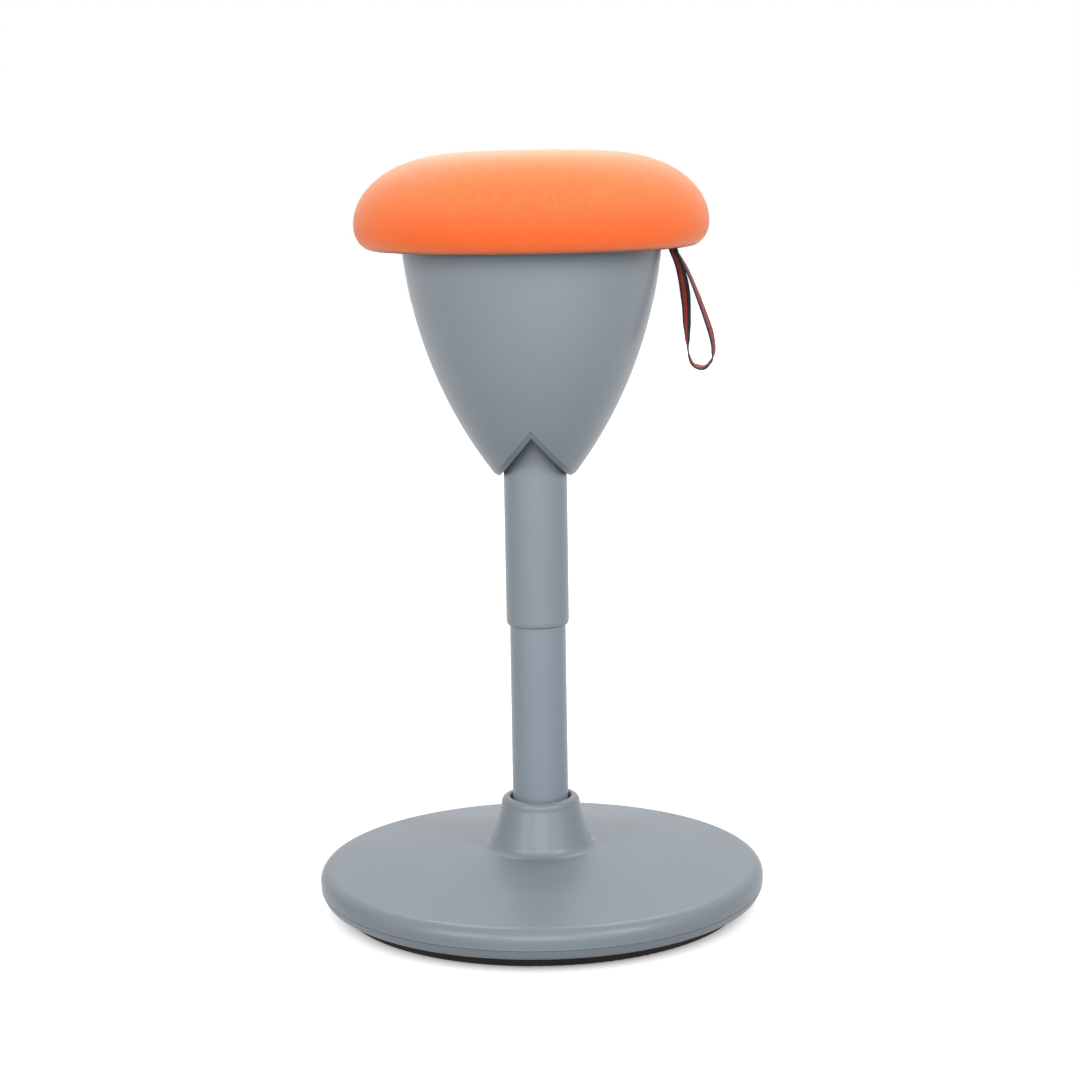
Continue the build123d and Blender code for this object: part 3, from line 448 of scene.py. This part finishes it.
def tape_strip(name, line, width, lean):
    """A flat tape of rounded section along line, its width turned about it by lean(share) radians."""
    lengths = [0.0]
    for a, b in zip(line, line[1:]):
        lengths.append(lengths[-1] + (b - a).length)
    half, thick = TAPE_WIDTH / 2, TAPE_THICK / 2
    section = []
    for i in range(TAPE_COLUMNS + 1):
        x = -half + 2 * half * i / TAPE_COLUMNS
        swell = math.sqrt(max(0.0, 1 - (abs(x) / half) ** TAPE_SQUARENESS))
        swell = min(1.0, swell + TAPE_EDGE)
        section.append((x, thick * swell))
    ring = section + [(x, -y) for x, y in reversed(section)]
    bm = bmesh.new()
    uv = bm.loops.layers.uv.new("tape")
    rings = []
    for i, p in enumerate(line):
        ahead = (line[min(i + 1, len(line) - 1)] - line[max(i - 1, 0)]).normalized()
        wide = Matrix.Rotation(lean(lengths[i] / lengths[-1]), 3, ahead) @ width
        up = ahead.cross(wide)
        rings.append([bm.verts.new(p + wide * x + up * y) for x, y in ring])
    count = len(ring)
    for i in range(len(rings) - 1):
        for j in range(count):
            k = (j + 1) % count
            face = bm.faces.new((rings[i][j], rings[i + 1][j], rings[i + 1][k], rings[i][k]))
            face.smooth = True
            for loop, (row, column) in zip(face.loops, ((i, j), (i + 1, j), (i + 1, k), (i, k))):
                loop[uv].uv = (lengths[row] * MILLIMETRES, ring[column][0] * MILLIMETRES)
    for end in (rings[0], rings[-1]):
        bm.faces.new(end)
    bmesh.ops.recalc_face_normals(bm, faces=bm.faces)
    mesh = bpy.data.meshes.new(name)
    bm.to_mesh(mesh)
    bm.free()
    mesh.materials.append(webbing)
    return new_object(name, mesh), lengths[-1]


def loop_lean(share):
    """The turn at this share of the loop's length in radians, eased between the marks of LOOP_TWIST."""
    for (low, before), (high, after) in zip(LOOP_TWIST, LOOP_TWIST[1:]):
        if share <= high:
            t = (share - low) / (high - low)
            return math.radians(before + (after - before) * t * t * (3 - 2 * t))
    return 0.0


loop_line = spline_points([Vector((LOOP_PLACE, 0, z)) + ACROSS * u for u, z in LOOP_ROUTE])
pull_loop, loop_length = tape_strip("pull_loop", loop_line, FACING, loop_lean)
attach(pull_loop, "strap")
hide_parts("strap_loop")


# Strap tail: the same tape from an eye round the crank's pin, along the board's channel to the slot

TAIL_PIN, TAIL_LEVEL, TAIL_JOIN, TAIL_GAP = (-0.0120, 0.5971), 0.6014, 0.03, 0.002
EYE_RADIUS, EYE_CORNERS = 0.0043, 8
eye = []
reach = EYE_RADIUS / math.cos(math.pi / EYE_CORNERS)
for i in range(EYE_CORNERS):
    a = math.pi / 2 + math.pi / EYE_CORNERS + math.tau / EYE_CORNERS * i
    eye.append((TAIL_PIN[0] + reach * math.cos(a), TAIL_PIN[1] + reach * math.sin(a)))
tail_end = LOOP_PLACE - TAIL_GAP
tail_route = [(TAIL_PIN[0], TAIL_LEVEL), *eye, (TAIL_JOIN, TAIL_LEVEL), (tail_end, TAIL_LEVEL)]
tail_line = spline_points([Vector((x, 0, z)) for x, z in tail_route])
tail_tape, tail_length = tape_strip("tail_tape", tail_line, Vector((0, -1, 0)), lambda share: 0.0)
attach(tail_tape, "tail")
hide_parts("strap_tail")


# Seat pad: fabric drawn over foam and hemmed under the board

SEAT_RADIUS, SEAT_WIDEST, HEM_RADIUS = 0.155, 0.6127, 0.1325
SHOULDER, RISE, EDGE, DROP, CROWN_TURN = 0.089, 0.0603, 0.0175, 0.022, math.radians(85)
BOARD_RADIUS, BOARD_LOW, BOARD_TOP = 0.1360, 0.5922, 0.6032
REST_GAP, CREASE = 0.0001, 0.0004
AROUND, HEM_STEPS, EDGE_STEPS, SIDE_STEPS, CROWN_STEPS, SEATING_STEPS = 128, 6, 12, 22, 11, 6


def pad_outline(inset):
    """(radius, height) from the hem's inner edge, round the side, to the middle of the crown."""
    points = []
    for i in range(HEM_STEPS):
        r = HEM_RADIUS + (SEAT_RADIUS - EDGE - HEM_RADIUS) * i / HEM_STEPS
        points.append((r, SEAT_WIDEST - DROP))
    for i in range(EDGE_STEPS + 1):
        a = -math.pi / 2 + math.pi / 2 * i / EDGE_STEPS
        r = SEAT_RADIUS - EDGE + (EDGE - inset) * math.cos(a)
        points.append((r, SEAT_WIDEST + (DROP - inset) * math.sin(a)))
    for i in range(1, SIDE_STEPS + 1):
        a = CROWN_TURN * i / SIDE_STEPS
        r = SEAT_RADIUS - SHOULDER + (SHOULDER - inset) * math.cos(a)
        points.append((r, SEAT_WIDEST + (RISE - inset) * math.sin(a)))
    reach, high = points[-1]
    fall = (RISE - inset) / (SHOULDER - inset) / math.tan(CROWN_TURN)
    for i in range(1, CROWN_STEPS):
        r = reach * (1 - i / CROWN_STEPS)
        points.append((r, high + fall / (2 * reach) * (reach**2 - r**2)))
    return points, high + fall * reach / 2


def pad_seating():
    """(radius, height) from the hem's inner edge, up round the board's edge and in over its top."""
    low, top, side = BOARD_LOW - REST_GAP, BOARD_TOP + REST_GAP, BOARD_RADIUS + REST_GAP
    points = [(HEM_RADIUS, low), (HEM_RADIUS + CREASE, low), (side - CREASE, low), (side, low)]
    points += [(side, low + CREASE), (side, top - CREASE), (side, top), (side - CREASE, top)]
    points += [(side * (1 - i / SEATING_STEPS), top) for i in range(1, SEATING_STEPS)]
    return points, top


def pad_mesh(name, inset):
    """The closed pad: its outer skin, drawn in by inset, and the underside that sits on the board."""
    bm = bmesh.new()
    first = None
    for (outline, middle), up in ((pad_outline(inset), True), (pad_seating(), False)):
        rings = [] if up else [first]
        for r, z in outline:
            turns = [math.tau * j / AROUND for j in range(AROUND)]
            rings.append([bm.verts.new((r * math.cos(a), r * math.sin(a), z)) for a in turns])
        first = rings[0]
        for a, b in zip(rings, rings[1:]):
            for j in range(AROUND):
                k = (j + 1) % AROUND
                bm.faces.new((a[j], a[k], b[k], b[j]))
        tip = bm.verts.new((0, 0, middle))
        for j in range(AROUND):
            bm.faces.new((rings[-1][j], rings[-1][(j + 1) % AROUND], tip))
    bmesh.ops.recalc_face_normals(bm, faces=bm.faces)
    for face in bm.faces:
        face.smooth = True
    mesh = bpy.data.meshes.new(name)
    bm.to_mesh(mesh)
    bm.free()
    return mesh


# The pad starts a little small and swells under pressure, with its hem and its underside held

START_INSET, SWELL_LIMIT, HELD_RINGS, FRAMES = 0.0022, 0.0006, 4, 20
pad = new_object("seat_pad", pad_mesh("seat_pad", START_INSET))
goal_mesh = pad_mesh("goal", 0.0)
goal = [v.co.copy() for v in goal_mesh.vertices]
bpy.data.meshes.remove(goal_mesh)
skin = len(pad_outline(0.0)[0]) * AROUND + 1
held = pad.vertex_groups.new(name="held")
held.add(list(range(HELD_RINGS * AROUND)) + list(range(skin, len(goal))), 1.0, "REPLACE")
cloth = pad.modifiers.new("cloth", "CLOTH")
cloth.settings.quality = 6
cloth.settings.mass = 0.25
cloth.settings.tension_stiffness = 18
cloth.settings.compression_stiffness = 18
cloth.settings.shear_stiffness = 8
cloth.settings.bending_stiffness = 2.0
cloth.settings.air_damping = 2.0
cloth.settings.use_pressure = True
cloth.settings.uniform_pressure_force = 4.0
cloth.settings.vertex_group_mass = "held"
cloth.settings.effector_weights.gravity = 0.0
cloth.point_cache.frame_start, cloth.point_cache.frame_end = 1, FRAMES
for f in range(1, FRAMES + 1):
    scene.frame_set(f)
evaluated = pad.evaluated_get(bpy.context.evaluated_depsgraph_get())
swollen = bpy.data.meshes.new_from_object(evaluated)
pad.modifiers.remove(cloth)
pad.vertex_groups.clear()
scene.frame_set(1)
for v, s, g in zip(pad.data.vertices, swollen.vertices, goal):
    step = s.co - g
    v.co = g + step * min(1.0, SWELL_LIMIT / max(step.length, 1e-9))
bpy.data.meshes.remove(swollen)


# Gathers where the cover is drawn in under the seat's edge, of uneven height and place

GATHERS, GATHER_SEED, GATHER_DEPTH = 44, 7, 0.0007
GATHER_START, GATHER_FADE, GATHER_LEVEL = 0.1405, 0.005, SEAT_WIDEST - 0.012
GATHER_TALL, GATHER_SHIFT = (0.4, 1.0), (-0.3, 0.3)
RIDGE_POWER, RIDGE_MEAN = 6, 0.3
chance = random.Random(GATHER_SEED)
gathers = [(chance.uniform(*GATHER_TALL), chance.uniform(*GATHER_SHIFT)) for _ in range(GATHERS)]
for v in pad.data.vertices:
    if v.index < skin and v.co.z < GATHER_LEVEL:
        r = math.hypot(v.co.x, v.co.y)
        deep = min(1.0, max(0.0, (GATHER_START - r) / GATHER_FADE))
        turn = math.atan2(v.co.y, v.co.x) / math.tau % 1 * GATHERS
        tall, shift = gathers[int(turn)]
        ridge = max(0.0, math.cos(math.pi * (turn % 1 - 0.5 - shift))) ** RIDGE_POWER
        v.co.z -= GATHER_DEPTH * deep * tall * (ridge - RIDGE_MEAN)
finer = pad.modifiers.new("finer", "SUBSURF")
finer.levels = finer.render_levels = 1
pad.data.materials.append(orange)
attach(pad, "seat")
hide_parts("seat_cover", "seat_foam")


# Floor: white to the camera, with a painted shadow where its glow dims close round the foot, under
# which the real shadow also shows; clear from below

FLOOR_SIDE, FLOOR_BACK, FLOOR_TONE = 6, 9, (0.25, 0.25, 0.25, 1)
# Glow by distance from the column, as (from, to, strength before, strength after)
# Painted shadow: the glow fades in a ring round the foot, darker near it whether or not the foot shades
# it
PAINTED_FOOT_SHADOW = (0.165, 0.2, 0.12, 0.95)
FAR_GLOW = (0.25, 0.9, 0.0, 0.4)
WHITE = (1, 1, 1, 1)
floor_mesh = bpy.data.meshes.new("floor")
floor_corners = [
    (-FLOOR_SIDE, -FLOOR_SIDE, 0),
    (FLOOR_SIDE, -FLOOR_SIDE, 0),
    (FLOOR_SIDE, FLOOR_BACK, 0),
    (-FLOOR_SIDE, FLOOR_BACK, 0),
]
floor_mesh.from_pydata(floor_corners, [], [(0, 1, 2, 3)])
floor = new_object("floor", floor_mesh)
n = Nodes("pale floor")
ray = n.tree.nodes.new("ShaderNodeLightPath").outputs
seen = n.math("MAXIMUM", ray["Is Camera Ray"], ray["Is Glossy Ray"])
seen = n.math("MAXIMUM", seen, ray["Is Transmission Ray"])
away = n.add("ShaderNodeVectorMath", operation="LENGTH", Vector=n.place()).outputs["Value"]
glow = n.math("ADD", n.ramp(away, *PAINTED_FOOT_SHADOW), n.ramp(away, *FAR_GLOW))
n.set(Base_Color=FLOOR_TONE, Roughness=0.9, Specular_IOR_Level=0.0)
n.set(Emission_Color=WHITE, Emission_Strength=n.math("MULTIPLY", seen, glow))
under = n.tree.nodes.new("ShaderNodeNewGeometry").outputs["Backfacing"]
clear = n.tree.nodes.new("ShaderNodeBsdfTransparent").outputs[0]
both = n.add("ShaderNodeMixShader", Fac=under)
n.tree.links.new(n.shader.outputs[0], both.inputs[1])
n.tree.links.new(clear, both.inputs[2])
n.tree.links.new(both.outputs[0], n.tree.nodes["Material Output"].inputs["Surface"])
floor_mesh.materials.append(n.material)


# Surroundings: white where seen, and otherwise light that comes from behind the stool

BACK_LIGHT = {"From Min": 0.1, "From Max": 1.0, "To Min": 0.1, "To Max": 0.9}
world = bpy.data.worlds.new("studio")
scene.world = world
world.use_nodes = True
tree = world.node_tree
background = tree.nodes["Background"]
ray = tree.nodes.new("ShaderNodeLightPath").outputs
shown = ray["Is Camera Ray"]
for kind in ("Is Glossy Ray", "Is Transmission Ray"):
    most = tree.nodes.new("ShaderNodeMath")
    most.operation = "MAXIMUM"
    tree.links.new(shown, most.inputs[0])
    tree.links.new(ray[kind], most.inputs[1])
    shown = most.outputs[0]
direction = tree.nodes.new("ShaderNodeSeparateXYZ")
tree.links.new(tree.nodes.new("ShaderNodeTexCoord").outputs["Generated"], direction.inputs[0])
behind = tree.nodes.new("ShaderNodeMapRange")
behind.interpolation_type = "SMOOTHSTEP"
for name, value in BACK_LIGHT.items():
    behind.inputs[name].default_value = value
tree.links.new(direction.outputs["Y"], behind.inputs["Value"])
level = tree.nodes.new("ShaderNodeMapRange")
level.inputs["To Max"].default_value = 1.0
tree.links.new(behind.outputs[0], level.inputs["To Min"])
tree.links.new(shown, level.inputs["Value"])
tree.links.new(level.outputs[0], background.inputs["Strength"])
background.inputs["Color"].default_value = WHITE


# Lamps: four soft rectangles, each with its place, aim, size and power


def softbox(name, place, aim, size, power):
    light = bpy.data.lights.new(name, "AREA")
    light.shape = "RECTANGLE"
    light.size, light.size_y = size
    light.energy = power
    obj = new_object(name, light)
    obj.location = place
    obj.rotation_euler = (Vector(aim) - Vector(place)).to_track_quat("-Z", "Y").to_euler()


softbox("front", (0.12, -3.0, 1.36), (0, 0, 0.5), (2.2, 1.2), 46)
softbox("left", (-1.75, -2.06, 1.4), (0, 0, 0.4), (0.8, 1.3), 28)
softbox("right", (1.38, -1.29, 1.3), (0, 0, 0.5), (0.56, 0.9), 17)
softbox("top", (0.0, 1.0, 1.65), (0, 0, 0.64), (1.6, 0.6), 14)

scene.view_settings.view_transform = "Standard"
